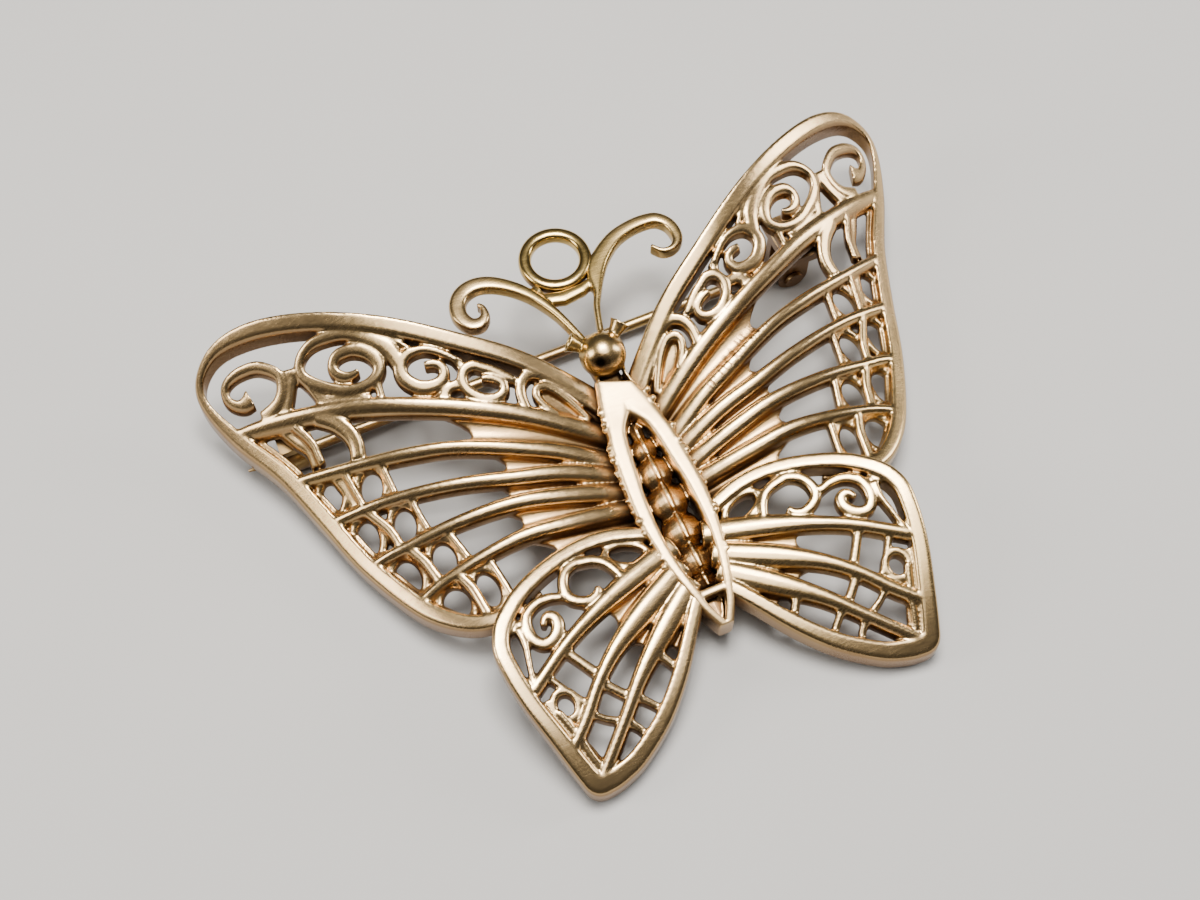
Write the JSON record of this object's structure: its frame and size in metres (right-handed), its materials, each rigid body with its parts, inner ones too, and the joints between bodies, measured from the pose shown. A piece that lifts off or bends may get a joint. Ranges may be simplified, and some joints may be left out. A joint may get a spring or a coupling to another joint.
{
  "type": "butterfly brooch",
  "caption": "Butterfly brooch with pierced scroll wings, ridged abdomen, curled antennae, a bail ring, and a hinged pin with a hook catch on its back.",
  "frame": {"origin": "middle of the outline in plan, at the height the brooch rests on", "axes": "+X across the wings, +Y from tail to head, +Z out of the face"},
  "size_m": [0.052, 0.0375, 0.0105],
  "materials": {
    "gold": "satin polished yellow gold, darker in the recesses",
    "gold_findings": "plain drawn gold, slightly toned"
  },
  "bodies": {
    "brooch": {"butterfly": "gold", "bail_ring": "gold", "hinge_block": "gold_findings", "hinge_rivet": "gold_findings", "catch": "gold_findings"},
    "pin": {"pin_stem": "gold_findings"}
  },
  "joints": [
    {"name": "pin_hinge", "type": "hinge", "parent": "brooch", "child": "pin", "pos_m": [0.0165, 0.012, 0.00115], "axis": [0, -1, 0], "range_deg": [0, 100]}
  ]
}
